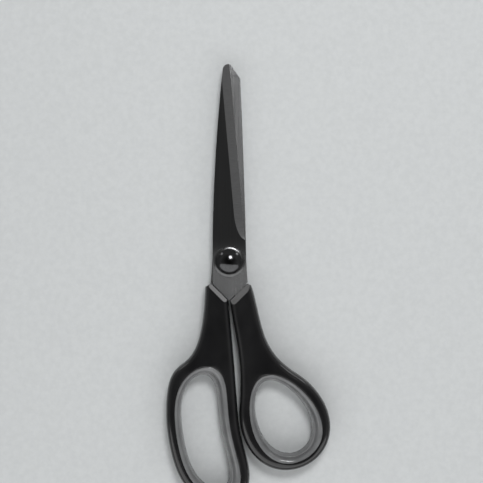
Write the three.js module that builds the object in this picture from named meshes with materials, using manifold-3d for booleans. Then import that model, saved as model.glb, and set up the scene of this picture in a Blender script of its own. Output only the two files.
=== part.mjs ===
// Kitchen scissors, closed and lying on their rear side. Millimetres.
// +Y points to the tips and +Z to the domed rivet head, so the hinge axis is the Z axis.
// The origin is the centre of the rivet's flat rear end.
// The two halves are one design turned over: each is drawn in its own half frame, where the blades
// meet at z = 0, the cutting edge, tang and handle lie on the -X side, and the blade is at z < 0.

import * as THREE from 'three';
import { mergeVertices } from 'three/addons/utils/BufferGeometryUtils.js';
import Module from 'manifold-3d';

// Blades
const BLADE_THICKNESS = 1.8;
const BLADE_GAP = 0.2;
const BLADE_REACH = 94;
const EDGE_THICKNESS = 0.35;
const EDGE_AT_TIP = 0.1;
const EDGE_AT_HEEL = 7.3;
const HEEL_REACH = 12.6;
const RICASSO_WIDTH = 8.7;
const GRIND_WIDTH = 4.2;
const PLUNGE_LENGTH = 12;
const SPINE_BASE_REACH = 5;
const SPINE_BELLY_REACH = 44;
const FRONT_SPINE = 7.9;
const FRONT_BELLY = 7.9;
const FRONT_TIP_WIDTH = 3.2;
const FRONT_TIP_CLIP = 3;
const FRONT_TIP_ROUND = 0.8;
const REAR_SPINE = 8;
const REAR_BELLY = 7.1;
const REAR_TIP_WIDTH = 5.2;
const REAR_TIP_CLIP = 7;
const REAR_TIP_ROUND = 0;

// Tangs, moulded into the handles
const TANG_ROOT = 5;
const TANG_WIDTH = 6;
const TANG_END_WIDTH = 4.6;
const TANG_LENGTH = 30;
const TANG_CLEARANCE = 0.15;
const ANCHOR_RADIUS = 1.5;
const ANCHOR_REACH = 19;
const FINGER_TANG_LEAN = 3;
const THUMB_TANG_LEAN = 10;

// The V where the handles' collars meet the blades
const V_DEPTH = 19;
const V_ANGLE = 45;
const COLLAR_CLEARANCE = 0.3;
const COLLAR_APEX = 8.6;
const SHOULDER_ANGLE = 30;
const CHAMFER_ANGLE = 38;
const FINGER_CHAMFER_RUN = 2;
const THUMB_CHAMFER_RUN = 2.9;

// Handles
const HANDLE_THICKNESS = 10.6;
const EDGE_ROUND_WIDTH = 3.2;
const EDGE_ROUND_HEIGHT = 3.6;
const HANDLE_GAP = 0.8;
const PARTING_GAP = 1;
const PARTING_LEAN = 5.8;
const FINGER_NECK_HALF = 11.4;
const FINGER_NECK_LEAN = 2;
const THUMB_NECK_HALF = 10.8;
const THUMB_NECK_LEAN = 15.8;
const NECK_CORNER_DROP = 12.6;

// Loops: the openings in the hard plastic, before the soft grips go in
const FINGER_LOOP_LENGTH = 62.1;
const FINGER_LOOP_WIDTH = 26.0;
const FINGER_LOOP_BEND = 5.3;
const FINGER_LOOP_TAPER = 0.01;
const FINGER_LOOP_FULLNESS = 2.15;
const FINGER_LOOP_TILT = 9.5;
const FINGER_LOOP_OFFSET = 12.1;
const FINGER_LOOP_DROP = 81.4;
const FINGER_RIM = 4;
const THUMB_LOOP_LENGTH = 44.6;
const THUMB_LOOP_WIDTH = 31.9;
const THUMB_LOOP_BEND = 0;
const THUMB_LOOP_TAPER = 0.178;
const THUMB_LOOP_FULLNESS = 1;
const THUMB_LOOP_TILT = 26.4;
const THUMB_LOOP_DROP = 74.3;

// The thumb handle's outer bow is an oval of its own, because its rim thins out towards the lower side
const THUMB_BOW_LENGTH = 50.7;
const THUMB_BOW_WIDTH = 41.3;
const THUMB_BOW_TAPER = 0.144;
const THUMB_BOW_TILT = 24;
const THUMB_BOW_INWARD = 0.4;
const THUMB_BOW_RAISE = 0.3;

// Soft grips
const GRIP_WIDTH = 3.9;
const GRIP_RECESS = 0.25;
const GRIP_FULLNESS = 1.8;
const GRIP_SLANT = 0.3;
const FINGER_GRIP_SHIFT = 0.9;
const FINGER_GRIP_AIM = 180;
const THUMB_GRIP_SHIFT = 1.1;
const THUMB_GRIP_AIM = 40;
const BOND_GAP = 0.1;

// Pivot
const RIVET_RADIUS = 2.5;
const RIVET_CLEARANCE = 0.08;
const STACK_GAP = 0.08;
const DOME_RADIUS = 5.85;
const DOME_HEIGHT = 2.4;
const TAIL_RADIUS = 4.2;
const TAIL_HEIGHT = 1.2;
const TAIL_CHAMFER = 0.4;
const FRONT_WASHER_RADIUS = 7.4;
const FRONT_WASHER_THICKNESS = 0.9;
const FRONT_WASHER_RIM = 0.35;
const REAR_WASHER_RADIUS = 6;
const REAR_WASHER_THICKNESS = 0.6;

// Fineness of the facets
const BOW_STEPS = 60;
const LOOP_STEPS = 64;
const FLANK_STEPS = 12;
const ROUND_STEPS = 5;
const GRIP_STEPS = 12;
const GRIND_STEPS = 24;
const TURN_STEPS = 48;

const wasm = await Module();
wasm.setup();

const radians = THREE.MathUtils.degToRad;
const vSlope = Math.tan(radians(V_ANGLE));
const handleHalf = HANDLE_THICKNESS / 2;
const bladeInner = -BLADE_GAP / 2;
const bladeOuter = bladeInner - BLADE_THICKNESS;

// Heights of the stack on the rivet, from the flat rear end upwards
const rearWasherZ = TAIL_HEIGHT + STACK_GAP;
const rearBladeZ = rearWasherZ + REAR_WASHER_THICKNESS + STACK_GAP;
const meetingZ = rearBladeZ + BLADE_THICKNESS + BLADE_GAP / 2;
const frontWasherZ = meetingZ + BLADE_GAP / 2 + BLADE_THICKNESS + STACK_GAP;
const domeZ = frontWasherZ + FRONT_WASHER_THICKNESS + STACK_GAP;

const fingerHalf = {
  spine: REAR_SPINE,
  belly: REAR_BELLY,
  tipWidth: REAR_TIP_WIDTH,
  tipClip: REAR_TIP_CLIP,
  tipRound: REAR_TIP_ROUND,
  tangLean: FINGER_TANG_LEAN,
  neckHalf: FINGER_NECK_HALF,
  neckLean: FINGER_NECK_LEAN,
  partingLean: PARTING_LEAN,
  chamferRun: FINGER_CHAMFER_RUN,
  outerLeave: 263,
  outerPull: [0.85, 0.6],
  innerLeave: 90,
  innerPull: [0.1, 0.63],
  gripShift: FINGER_GRIP_SHIFT,
  gripAim: radians(FINGER_GRIP_AIM),
  front: 1,
  loop: {
    x: -FINGER_LOOP_OFFSET,
    y: -FINGER_LOOP_DROP,
    length: FINGER_LOOP_LENGTH,
    width: FINGER_LOOP_WIDTH,
    bend: FINGER_LOOP_BEND,
    taper: FINGER_LOOP_TAPER,
    fullness: FINGER_LOOP_FULLNESS,
    tilt: radians(FINGER_LOOP_TILT),
  },
};
fingerHalf.bow = { ...fingerHalf.loop, rim: FINGER_RIM };

const thumbHalf = {
  spine: FRONT_SPINE,
  belly: FRONT_BELLY,
  tipWidth: FRONT_TIP_WIDTH,
  tipClip: FRONT_TIP_CLIP,
  tipRound: FRONT_TIP_ROUND,
  tangLean: THUMB_TANG_LEAN,
  neckHalf: THUMB_NECK_HALF,
  neckLean: THUMB_NECK_LEAN,
  partingLean: -PARTING_LEAN,
  chamferRun: THUMB_CHAMFER_RUN,
  outerLeave: 232,
  outerPull: [0.42, 0.45],
  innerLeave: 120,
  innerPull: [0.48, 0.26],
  gripShift: THUMB_GRIP_SHIFT,
  gripAim: radians(THUMB_GRIP_AIM),
  front: -1,
  loop: {
    x: 0,
    y: -THUMB_LOOP_DROP,
    length: THUMB_LOOP_LENGTH,
    width: THUMB_LOOP_WIDTH,
    bend: THUMB_LOOP_BEND,
    taper: THUMB_LOOP_TAPER,
    fullness: THUMB_LOOP_FULLNESS,
    tilt: radians(-THUMB_LOOP_TILT),
  },
};
thumbHalf.bow = {
  ...thumbHalf.loop,
  x: THUMB_BOW_INWARD,
  y: THUMB_BOW_RAISE - THUMB_LOOP_DROP,
  length: THUMB_BOW_LENGTH,
  width: THUMB_BOW_WIDTH,
  taper: THUMB_BOW_TAPER,
  tilt: radians(-THUMB_BOW_TILT),
  rim: 0,
};

// A closed oval, or a stretch of one, drawn counter-clockwise from the angle at its lower end.
// Fullness straightens the sides, taper widens the lower end and bend bows the middle to -X.
class LoopCurve extends THREE.Curve {
  constructor(loop, outset, from = 0, to = 360) {
    super();
    this.loop = loop;
    this.outset = outset;
    this.from = radians(from);
    this.to = radians(to);
    this.arcLengthDivisions = 720;
  }

  onOval(angle) {
    const { x, y, length, width, bend, taper, fullness, tilt } = this.loop;
    const reach = Math.cos(angle);
    const along = Math.sign(reach) * Math.abs(reach) ** (1 / fullness);
    const across = Math.sin(angle) * (1 + taper * along);
    const down = (length / 2) * along;
    const side = (width / 2) * across + bend * along * along;
    return new THREE.Vector2(
      x + side * Math.cos(tilt) + down * Math.sin(tilt),
      y - down * Math.cos(tilt) + side * Math.sin(tilt),
    );
  }

  getPoint(t, target = new THREE.Vector2()) {
    const angle = this.from + t * (this.to - this.from);
    const ahead = this.onOval(angle + 1e-3);
    const behind = this.onOval(angle - 1e-3);
    const run = ahead.sub(behind).normalize();
    const outward = new THREE.Vector2(run.y, -run.x);
    return target.copy(this.onOval(angle)).addScaledVector(outward, this.outset);
  }
}

function closedLoop(loop, outset, steps) {
  return new LoopCurve(loop, outset).getSpacedPoints(steps).slice(0, steps);
}

// Makes a closed solid for cutting and joining, with its faces turned outwards
function solidOf(geometry) {
  const bare = geometry.clone();
  bare.deleteAttribute('normal');
  bare.deleteAttribute('uv');
  const merged = mergeVertices(bare, 1e-5);
  const corner = merged.attributes.position.array;
  const index = merged.index.array;
  const a = new THREE.Vector3();
  const b = new THREE.Vector3();
  const c = new THREE.Vector3();
  const triangles = [];
  let volume = 0;
  for (let i = 0; i < index.length; i += 3) {
    const [p, q, r] = index.subarray(i, i + 3);
    if (p === q || q === r || r === p) continue;
    triangles.push([p, q, r]);
    a.fromArray(corner, p * 3);
    b.fromArray(corner, q * 3);
    c.fromArray(corner, r * 3);
    volume += a.dot(b.cross(c));
  }
  const facing = volume < 0 ? triangles.map((triangle) => triangle.reverse()) : triangles;
  return new wasm.Manifold(new wasm.Mesh({
    numProp: 3,
    vertProperties: Float32Array.from(corner),
    triVerts: Uint32Array.from(facing.flat()),
  }));
}

function pieceOf(solid, name, material) {
  const mesh = solid.getMesh();
  const geometry = new THREE.BufferGeometry();
  geometry.setAttribute('position', new THREE.BufferAttribute(mesh.vertProperties, 3));
  geometry.setIndex(new THREE.BufferAttribute(mesh.triVerts, 1));
  geometry.computeVertexNormals();
  const piece = new THREE.Mesh(geometry, material);
  piece.name = name;
  return piece;
}

// Skins a row of equal rings: a tube that closes on itself, or a body capped at both ends.
// The caps are cut into triangles in the plane that flatten gives.
function skin(rings, flatten = null) {
  const count = rings[0].length;
  const index = [];
  const bands = flatten ? rings.length - 1 : rings.length;
  for (let i = 0; i < bands; i += 1) {
    const near = i * count;
    const far = ((i + 1) % rings.length) * count;
    for (let j = 0; j < count; j += 1) {
      const next = (j + 1) % count;
      index.push(near + j, near + next, far + next);
      index.push(near + j, far + next, far + j);
    }
  }
  if (flatten) {
    const lastStart = (rings.length - 1) * count;
    for (const [p, q, r] of THREE.ShapeUtils.triangulateShape(rings[0].map(flatten), [])) {
      index.push(p, r, q);
    }
    for (const [p, q, r] of THREE.ShapeUtils.triangulateShape(rings.at(-1).map(flatten), [])) {
      index.push(lastStart + p, lastStart + q, lastStart + r);
    }
  }
  const geometry = new THREE.BufferGeometry();
  const corners = rings.flat().flatMap((point) => [point.x, point.y, point.z]);
  geometry.setAttribute('position', new THREE.Float32BufferAttribute(corners, 3));
  geometry.setIndex(index);
  return solidOf(geometry);
}

function slab(shape, bottom, top) {
  const geometry = new THREE.ExtrudeGeometry(shape, { depth: top - bottom, bevelEnabled: false });
  return solidOf(geometry.translate(0, 0, bottom));
}

function pin(radius, x, y, bottom, top) {
  const geometry = new THREE.CylinderGeometry(radius, radius, top - bottom, TURN_STEPS);
  geometry.rotateX(Math.PI / 2);
  return solidOf(geometry.translate(x, y, (bottom + top) / 2));
}

function turned(profile) {
  const geometry = new THREE.LatheGeometry(profile, TURN_STEPS);
  return solidOf(geometry.rotateX(Math.PI / 2));
}

// The V face's height at a distance from the centre line, moved towards the pivot by a clearance
function vHeight(x, clearance) {
  return -V_DEPTH + clearance / Math.cos(radians(V_ANGLE)) + Math.abs(x) * vSlope;
}

// Blade: outline, tang with its anchor hole, ground bevel with a plunge at the heel, rivet hole

function bladeShape({ spine, belly, tipWidth, tipClip, tipRound }) {
  const clipY = BLADE_REACH - tipClip;
  const noseX = EDGE_AT_TIP * 4;
  const outerX = THREE.MathUtils.lerp((noseX + tipWidth) / 2, tipWidth, tipRound);
  const outerY = THREE.MathUtils.lerp((BLADE_REACH + clipY) / 2, BLADE_REACH, tipRound);
  const shape = new THREE.Shape();
  shape.moveTo(0, vHeight(0, COLLAR_CLEARANCE));
  shape.lineTo(spine, vHeight(spine, COLLAR_CLEARANCE));
  shape.lineTo(spine, SPINE_BASE_REACH);
  shape.quadraticCurveTo(belly, SPINE_BELLY_REACH, tipWidth, clipY);
  shape.quadraticCurveTo(outerX, outerY, noseX, BLADE_REACH);
  shape.quadraticCurveTo(-EDGE_AT_TIP, BLADE_REACH, -EDGE_AT_TIP, BLADE_REACH - 1);
  shape.lineTo(-EDGE_AT_HEEL, HEEL_REACH);
  shape.lineTo(-RICASSO_WIDTH, vHeight(RICASSO_WIDTH, COLLAR_CLEARANCE));
  shape.closePath();
  return shape;
}

// The tang is a tapered strip with a round end, grown by a clearance where it is the handle's pocket
function tangSolid({ tangLean }, grow) {
  const rootHalf = TANG_WIDTH / 2 + grow;
  const endHalf = TANG_END_WIDTH / 2 + grow;
  const shape = new THREE.Shape();
  shape.moveTo(-rootHalf, TANG_WIDTH);
  shape.lineTo(-endHalf, endHalf - TANG_LENGTH - grow);
  shape.absarc(0, endHalf - TANG_LENGTH - grow, endHalf, Math.PI, 2 * Math.PI);
  shape.lineTo(rootHalf, TANG_WIDTH);
  shape.closePath();
  const strip = slab(shape, bladeOuter - grow, bladeInner + grow);
  const anchor = pin(ANCHOR_RADIUS - grow, 0, -ANCHOR_REACH, bladeOuter - 1, bladeInner + 1);
  return strip.subtract(anchor)
    .rotate([0, 0, -tangLean])
    .translate([-TANG_ROOT, vHeight(TANG_ROOT, 0), 0]);
}

// What the grinding wheel takes off the outer face: its depth falls to nothing along the plunge
function grindSolid() {
  const edgeSlope = (EDGE_AT_HEEL - EDGE_AT_TIP) / (BLADE_REACH - HEEL_REACH);
  const plungeEnd = HEEL_REACH - 2;
  const beyond = 3;
  const rings = [];
  for (let i = 0; i <= GRIND_STEPS; i += 1) {
    const share = (i / GRIND_STEPS) ** 2;
    const y = plungeEnd + share * (BLADE_REACH + beyond - plungeEnd);
    const left = Math.max(0, 1 - (y - plungeEnd) / PLUNGE_LENGTH);
    const width = Math.max(GRIND_WIDTH * Math.sqrt(1 - left * left), 0.02);
    const depth = (width / GRIND_WIDTH) * (BLADE_THICKNESS - EDGE_THICKNESS);
    const edgeX = -EDGE_AT_TIP - (BLADE_REACH - y) * edgeSlope;
    const lineX = edgeX + width;
    const outX = edgeX - beyond;
    rings.push([
      new THREE.Vector3(lineX, y, bladeOuter),
      new THREE.Vector3(outX, y, bladeOuter + depth * (1 + beyond / width)),
      new THREE.Vector3(outX, y, bladeOuter - 1),
      new THREE.Vector3(lineX, y, bladeOuter - 1),
    ]);
  }
  return skin(rings, (point) => new THREE.Vector2(point.x, point.z));
}

function bladeSolid(half) {
  const rivetHole = pin(RIVET_RADIUS + RIVET_CLEARANCE, 0, 0, bladeOuter - 1, bladeInner + 1);
  return slab(bladeShape(half), bladeOuter, bladeInner)
    .add(tangSolid(half, 0))
    .subtract(grindSolid())
    .subtract(rivetHole);
}

// Handle: a slab with rounded edges, cut by the V collar, the loop and the tang's pocket

function curveBetween(start, startRun, end, endRun, [startPull, endPull]) {
  const reach = start.distanceTo(end);
  const first = start.clone().addScaledVector(startRun, startPull * reach);
  const second = end.clone().addScaledVector(endRun, -endPull * reach);
  return new THREE.CubicBezierCurve(start, first, second, end).getPoints(FLANK_STEPS);
}

function handleOutline(half) {
  const { bow, outerLeave, outerPull, innerLeave, innerPull, neckHalf, neckLean, partingLean } = half;
  const rim = new LoopCurve(bow, bow.rim, outerLeave, 360 + innerLeave);
  const rimPoints = rim.getSpacedPoints(BOW_STEPS);
  const neckRun = new THREE.Vector2(-Math.sin(radians(neckLean)), -Math.cos(radians(neckLean)));
  const partingRun = new THREE.Vector2(-Math.sin(radians(partingLean)), Math.cos(radians(partingLean)));
  const outerCorner = new THREE.Vector2(-neckHalf, -NECK_CORNER_DROP);
  const innerCorner = new THREE.Vector2(-PARTING_GAP / 2, -V_DEPTH);
  const outerTop = outerCorner.clone().addScaledVector(neckRun, -NECK_CORNER_DROP);
  const innerTop = innerCorner.clone().addScaledVector(partingRun, V_DEPTH);
  const outerFlank = curveBetween(outerCorner, neckRun, rimPoints[0], rim.getTangent(0), outerPull);
  const innerFlank = curveBetween(rimPoints.at(-1), rim.getTangent(1), innerCorner, partingRun, innerPull);
  return [innerTop, outerTop, ...outerFlank, ...rimPoints.slice(1), ...innerFlank.slice(1)];
}

// Moves every corner of a counter-clockwise outline inwards by the same distance from its sides
function inset(outline, distance) {
  return outline.map((corner, i) => {
    const before = corner.clone().sub(outline.at(i - 1)).normalize();
    const after = outline[(i + 1) % outline.length].clone().sub(corner).normalize();
    const run = before.clone().add(after).normalize();
    const inward = new THREE.Vector2(-run.y, run.x);
    return corner.clone().addScaledVector(inward, distance / run.dot(after));
  });
}

function roundedSlab(outline) {
  const rings = [];
  for (const side of [-1, 1]) {
    for (let i = 0; i <= ROUND_STEPS; i += 1) {
      const turn = ((side < 0 ? ROUND_STEPS - i : i) / ROUND_STEPS) * (Math.PI / 2);
      const z = side * (handleHalf - EDGE_ROUND_HEIGHT * (1 - Math.sin(turn)));
      const drawnIn = EDGE_ROUND_WIDTH * (1 - Math.cos(turn));
      rings.push(inset(outline, drawnIn).map((point) => new THREE.Vector3(point.x, point.y, z)));
    }
  }
  return skin(rings, (point) => new THREE.Vector2(point.x, point.y));
}

// Everything on the pivot's side of the V face and of the sloping shoulder beside it
function collarCut() {
  const far = BLADE_REACH;
  const apexY = vHeight(COLLAR_APEX, 0);
  const shape = new THREE.Shape();
  shape.moveTo(far, -V_DEPTH - far * vSlope);
  shape.lineTo(far, far);
  shape.lineTo(-COLLAR_APEX - far, far);
  shape.lineTo(-COLLAR_APEX - far, apexY - far * Math.tan(radians(SHOULDER_ANGLE)));
  shape.lineTo(-COLLAR_APEX, apexY);
  shape.closePath();
  return slab(shape, -handleHalf - 1, handleHalf + 1);
}

// The bevel above or below the V face, from a lip beside the blade up to the handle's flat
function collarBevel({ chamferRun }, side) {
  const climb = chamferRun * Math.tan(radians(CHAMFER_ANGLE));
  const lip = handleHalf - climb;
  const shape = new THREE.Shape();
  shape.moveTo(-1, lip);
  shape.lineTo(0, lip);
  shape.lineTo(chamferRun * 2, lip + climb * 2);
  shape.lineTo(-1, lip + climb * 2);
  shape.closePath();
  const length = 2 * (V_DEPTH + COLLAR_APEX);
  const geometry = new THREE.ExtrudeGeometry(shape, { depth: length, bevelEnabled: false });
  const tilt = radians(V_ANGLE);
  const intoHandle = new THREE.Vector3(-Math.sin(tilt), -Math.cos(tilt), 0);
  const up = new THREE.Vector3(0, 0, side);
  const alongV = new THREE.Vector3(-Math.cos(tilt), Math.sin(tilt), 0);
  const start = new THREE.Vector3(0, -V_DEPTH, 0).addScaledVector(alongV, -length / 2);
  geometry.applyMatrix4(new THREE.Matrix4().makeBasis(intoHandle, up, alongV).setPosition(start));
  return solidOf(geometry);
}

function handleSolid(half) {
  const hole = new THREE.Shape(closedLoop(half.loop, 0, LOOP_STEPS));
  return roundedSlab(handleOutline(half))
    .subtract(slab(hole, -handleHalf - 1, handleHalf + 1))
    .subtract(collarCut())
    .subtract(collarBevel(half, 1))
    .subtract(collarBevel(half, -1))
    .subtract(tangSolid(half, TANG_CLEARANCE));
}

// Grip: a lining between the loop and a smaller opening, rounded on its inner side.
// The opening lies off the loop's centre and slants, so one side is a narrow rim and the other a slope.
function gripSolid({ loop, gripShift, gripAim, front }) {
  const aim = new THREE.Vector2(Math.cos(gripAim), Math.sin(gripAim));
  const length = loop.length - 2 * GRIP_WIDTH;
  const opening = {
    ...loop,
    x: loop.x + gripShift * aim.x,
    y: loop.y + gripShift * aim.y,
    length,
    width: loop.width - 2 * GRIP_WIDTH,
    bend: loop.bend * (length / loop.length) ** 2,
  };
  const wall = closedLoop(loop, -BOND_GAP, LOOP_STEPS);
  const crest = closedLoop(opening, 0, LOOP_STEPS);
  const rings = [];
  for (let i = 0; i <= GRIP_STEPS; i += 1) {
    const turn = (i / GRIP_STEPS - 0.5) * Math.PI;
    const bulge = Math.max(Math.cos(turn), 0) ** (1 / GRIP_FULLNESS);
    const slide = -front * GRIP_SLANT * Math.sin(turn) * bulge;
    const z = (handleHalf - GRIP_RECESS) * Math.sin(turn);
    rings.push(wall.map((point, j) => {
      const place = point.clone().lerp(crest[j], bulge).addScaledVector(aim, slide);
      return new THREE.Vector3(place.x, place.y, z);
    }));
  }
  return skin(rings);
}

// The thumb loop is slid along X until its handle clears the finger handle when closed
function farthestRight(outline, y) {
  let right = -Infinity;
  outline.forEach((point, i) => {
    const next = outline[(i + 1) % outline.length];
    if ((point.y - y) * (next.y - y) > 0 || point.y === next.y) return;
    right = Math.max(right, THREE.MathUtils.mapLinear(y, point.y, next.y, point.x, next.x));
  });
  return right;
}

function thumbLoopPlace() {
  const fingerBow = closedLoop(fingerHalf.bow, FINGER_RIM, 4 * LOOP_STEPS);
  const thumbBow = closedLoop(thumbHalf.bow, 0, 4 * LOOP_STEPS);
  const shared = thumbBow.map((point) => point.x + farthestRight(fingerBow, point.y));
  return -HANDLE_GAP - Math.max(...shared);
}

// Pivot: turned pieces, whose profiles give radius and height

function rivetSolid() {
  const ball = (DOME_RADIUS ** 2 + DOME_HEIGHT ** 2) / (2 * DOME_HEIGHT);
  const sweep = Math.asin(DOME_RADIUS / ball);
  const profile = [
    new THREE.Vector2(0, 0),
    new THREE.Vector2(TAIL_RADIUS - TAIL_CHAMFER, 0),
    new THREE.Vector2(TAIL_RADIUS, TAIL_CHAMFER),
    new THREE.Vector2(TAIL_RADIUS, TAIL_HEIGHT),
    new THREE.Vector2(RIVET_RADIUS, TAIL_HEIGHT),
    new THREE.Vector2(RIVET_RADIUS, domeZ),
  ];
  const domeSteps = TURN_STEPS / 6;
  for (let i = 0; i < domeSteps; i += 1) {
    const turn = sweep * (1 - i / domeSteps);
    const height = domeZ + DOME_HEIGHT - ball * (1 - Math.cos(turn));
    profile.push(new THREE.Vector2(ball * Math.sin(turn), height));
  }
  profile.push(new THREE.Vector2(0, domeZ + DOME_HEIGHT));
  return turned(profile);
}

function frontWasherSolid() {
  const bore = RIVET_RADIUS + RIVET_CLEARANCE;
  const bottom = frontWasherZ;
  const top = frontWasherZ + FRONT_WASHER_THICKNESS;
  const rimTop = bottom + FRONT_WASHER_RIM;
  return turned([
    new THREE.Vector2(bore, bottom),
    new THREE.Vector2(FRONT_WASHER_RADIUS, bottom),
    new THREE.Vector2(FRONT_WASHER_RADIUS, rimTop),
    new THREE.Vector2(DOME_RADIUS, top),
    new THREE.Vector2(bore, top),
    new THREE.Vector2(bore, bottom),
  ]);
}

function rearWasherSolid() {
  const bore = RIVET_RADIUS + RIVET_CLEARANCE;
  const top = rearWasherZ + REAR_WASHER_THICKNESS;
  return turned([
    new THREE.Vector2(bore, rearWasherZ),
    new THREE.Vector2(REAR_WASHER_RADIUS, rearWasherZ),
    new THREE.Vector2(REAR_WASHER_RADIUS, top),
    new THREE.Vector2(bore, top),
    new THREE.Vector2(bore, rearWasherZ),
  ]);
}

// Materials
const steel = () => new THREE.MeshStandardMaterial({ color: 0xa9acae, roughness: 0.25, metalness: 1 });
const polished = () => new THREE.MeshStandardMaterial({ color: 0xb4b6b8, roughness: 0.12, metalness: 1 });
const hardBlack = () => new THREE.MeshStandardMaterial({ color: 0x141416, roughness: 0.18, metalness: 0 });
const softGrey = () => new THREE.MeshStandardMaterial({ color: 0x74777a, roughness: 0.7, metalness: 0 });

// Assembly
const thumbLoopX = thumbLoopPlace();
thumbHalf.loop.x += thumbLoopX;
thumbHalf.bow.x += thumbLoopX;

const fingerGroup = new THREE.Group();
fingerGroup.position.z = meetingZ;
fingerGroup.add(pieceOf(bladeSolid(fingerHalf), 'rear_blade', steel()));
fingerGroup.add(pieceOf(handleSolid(fingerHalf), 'finger_handle', hardBlack()));
fingerGroup.add(pieceOf(gripSolid(fingerHalf), 'finger_grip', softGrey()));

const thumbGroup = new THREE.Group();
thumbGroup.position.z = meetingZ;
thumbGroup.rotation.y = Math.PI;
thumbGroup.add(pieceOf(bladeSolid(thumbHalf), 'front_blade', steel()));
thumbGroup.add(pieceOf(handleSolid(thumbHalf), 'thumb_handle', hardBlack()));
thumbGroup.add(pieceOf(gripSolid(thumbHalf), 'thumb_grip', softGrey()));

const scissors = new THREE.Group();
scissors.add(fingerGroup, thumbGroup);
scissors.add(pieceOf(rivetSolid(), 'pivot_rivet', polished()));
scissors.add(pieceOf(frontWasherSolid(), 'front_washer', polished()));
scissors.add(pieceOf(rearWasherSolid(), 'rear_washer', polished()));

export default scissors;
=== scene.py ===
import math
import bmesh
import bpy
import numpy as np
from mathutils.geometry import tessellate_polygon
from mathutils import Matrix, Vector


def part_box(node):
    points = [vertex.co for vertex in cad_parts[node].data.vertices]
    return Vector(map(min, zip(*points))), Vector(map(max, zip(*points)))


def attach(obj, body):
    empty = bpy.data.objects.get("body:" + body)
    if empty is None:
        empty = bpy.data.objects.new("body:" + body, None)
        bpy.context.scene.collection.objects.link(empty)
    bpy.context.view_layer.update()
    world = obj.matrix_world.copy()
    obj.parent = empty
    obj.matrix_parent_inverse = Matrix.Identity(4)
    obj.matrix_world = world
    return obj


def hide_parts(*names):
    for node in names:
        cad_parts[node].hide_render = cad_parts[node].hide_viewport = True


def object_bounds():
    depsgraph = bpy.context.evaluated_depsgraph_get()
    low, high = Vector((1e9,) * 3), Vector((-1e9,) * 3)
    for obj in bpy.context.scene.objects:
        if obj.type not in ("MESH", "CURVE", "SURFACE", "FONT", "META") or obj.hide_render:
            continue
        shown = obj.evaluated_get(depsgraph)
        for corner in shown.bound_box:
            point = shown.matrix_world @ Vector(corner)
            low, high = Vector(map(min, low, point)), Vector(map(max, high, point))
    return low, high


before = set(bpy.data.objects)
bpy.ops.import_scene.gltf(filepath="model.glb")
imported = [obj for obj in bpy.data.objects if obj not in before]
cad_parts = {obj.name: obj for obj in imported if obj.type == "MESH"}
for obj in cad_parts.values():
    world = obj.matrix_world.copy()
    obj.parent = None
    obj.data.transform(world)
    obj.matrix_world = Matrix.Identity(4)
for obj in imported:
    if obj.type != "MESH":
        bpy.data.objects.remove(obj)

cad_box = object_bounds()

# Rear blade
# One stamping of stainless sheet: the blade, its rivet hole, and the tang that the handle is moulded on.
# The flats are polished lengthwise, the inner face is left satin, and a bevel is ground on the rear face
# up to a curved plunge.

rear_low, rear_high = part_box("rear_blade")
front_low, front_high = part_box("front_blade")
MEETING_Z = (rear_high.z + front_low.z) / 2
BLADE_INNER = (rear_high.z - front_low.z) / 2
BLADE_OUTER = BLADE_INNER - (rear_high.z - rear_low.z)
BLADE_REACH = rear_high.y
EDGE_THICKNESS = 0.00035
EDGE_AT_TIP = 0.0001
EDGE_AT_HEEL = 0.0073
NOSE_SIDE = 0.0004
NOSE_DROP = 0.001
HEEL_REACH = 0.0126
RICASSO_WIDTH = 0.0087
GRIND_WIDTH = 0.0042
PLUNGE_LENGTH = 0.012
PLUNGE_SETBACK = 0.002
PLUNGE_END = HEEL_REACH - PLUNGE_SETBACK
SPINE_BASE_REACH = 0.005
SPINE_BELLY_REACH = 0.044
V_DEPTH = 0.019
V_ANGLE = math.radians(45)
COLLAR_CLEARANCE = 0.0003
TANG_ROOT = 0.005
TANG_WIDTH = 0.006
TANG_END_WIDTH = 0.0046
TANG_LENGTH = 0.030
ANCHOR_RADIUS = 0.0015
ANCHOR_REACH = 0.019
RIVET_HOLE_RADIUS = 0.00258
BLADE_CORNER = 0.00009
BLADE_CORNER_LIMIT = math.radians(32)
BLADE_CREASE = math.radians(8)
BACK_STEPS = 60
TIP_STEPS = 12
NOSE_STEPS = 8
RUN_OUT_STEPS = 4
EDGE_STEPS = 39
PLUNGE_STEPS = 24
TANG_END_STEPS = 16
RIVET_HOLE_STEPS = 64
ANCHOR_STEPS = 24
REAR_SPINE = 0.008
REAR_BELLY = 0.0071
REAR_TIP_WIDTH = 0.0052
REAR_TIP_CLIP = 0.007
REAR_TIP_ROUND = 0.0
FINGER_TANG_LEAN = math.radians(3)
STEEL_DARK = (0.50, 0.505, 0.51, 1)
STEEL_LIGHT = (0.62, 0.625, 0.63, 1)
POLISHED_LENGTHWISE = (5200, 22, 900)
GROUND_CROSSWISE = (120, 4200, 900)
HAZE_SPREAD = (70, 45, 70)
NOISE_LOW = 0.3
NOISE_HIGH = 0.7
STEEL_BUMP = {"Strength": 0.03, "Distance": 0.00001}
POLISH_ROUGHNESS = (0.058, 0.068)
HAZE_ROUGHNESS = (0.0, 0.02)
SATIN_ROUGHNESS = (0.14, 0.18)
# The polish ends at the rivet, and the inner face is duller away from the tip
UNPOLISHED = {"From Min": 0.014, "From Max": -0.004, "To Min": 0.0, "To Max": 0.19}
DULLER = {"From Min": 0.045, "From Max": 0.085, "To Min": 0.055, "To Max": 0.0}


def bow(start, pull, end, steps):
    """A curve from start to end that leans towards pull, without its first point."""
    start, pull, end = np.array(start), np.array(pull), np.array(end)
    t = np.linspace(0, 1, steps + 1)[1:, None]
    return (1 - t) ** 2 * start + 2 * t * (1 - t) * pull + t**2 * end


def circle(x, y, radius, steps):
    turn = np.linspace(0, 2 * math.pi, steps, endpoint=False)
    return np.column_stack([x + radius * np.cos(turn), y + radius * np.sin(turn)])


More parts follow.
